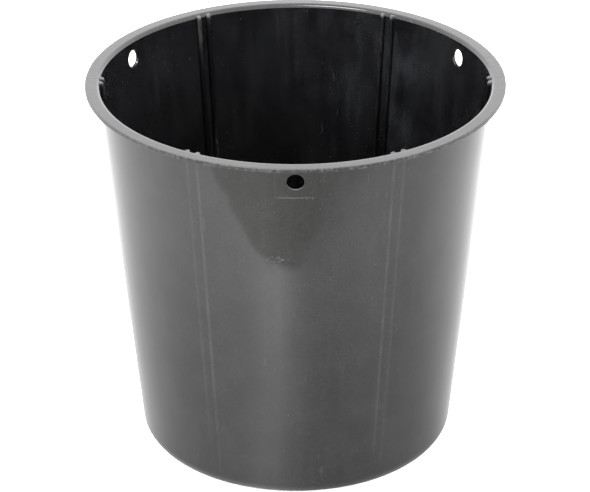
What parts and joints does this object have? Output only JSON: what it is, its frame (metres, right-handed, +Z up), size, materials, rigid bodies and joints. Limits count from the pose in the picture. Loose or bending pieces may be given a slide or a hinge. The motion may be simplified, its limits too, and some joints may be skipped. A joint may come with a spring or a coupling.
{
  "type": "florist bucket",
  "caption": "Tapered round bucket in black moulded plastic with a flat rim, small round holes under the rim and slim ribs inside.",
  "frame": {"origin": "centre of the base on the standing plane", "axes": "+Z up along the bucket's axis, towards the mouth; -Y towards the front hole"},
  "size_m": [0.3, 0.3, 0.279],
  "materials": {
    "bucket_plastic": "black polypropylene, satin from the mould, slightly scuffed"
  },
  "bodies": {
    "root": {"rim_front": "bucket_plastic", "rim_front_right": "bucket_plastic", "rim_rear_right": "bucket_plastic", "rim_rear": "bucket_plastic", "rim_rear_left": "bucket_plastic", "rim_front_left": "bucket_plastic", "wall_front": "bucket_plastic", "wall_front_right": "bucket_plastic", "wall_rear_right": "bucket_plastic", "wall_rear": "bucket_plastic", "wall_rear_left": "bucket_plastic", "wall_front_left": "bucket_plastic", "hole_pad_front": "bucket_plastic", "hole_pad_rear_right": "bucket_plastic", "hole_pad_rear_left": "bucket_plastic", "rib_pair_front_right": "bucket_plastic", "rib_pair_right": "bucket_plastic", "rib_pair_rear_right": "bucket_plastic", "rib_pair_rear_left": "bucket_plastic", "rib_pair_left": "bucket_plastic", "rib_pair_front_left": "bucket_plastic", "base_heel": "bucket_plastic", "base_foot": "bucket_plastic", "base_floor": "bucket_plastic"}
  },
  "joints": []
}
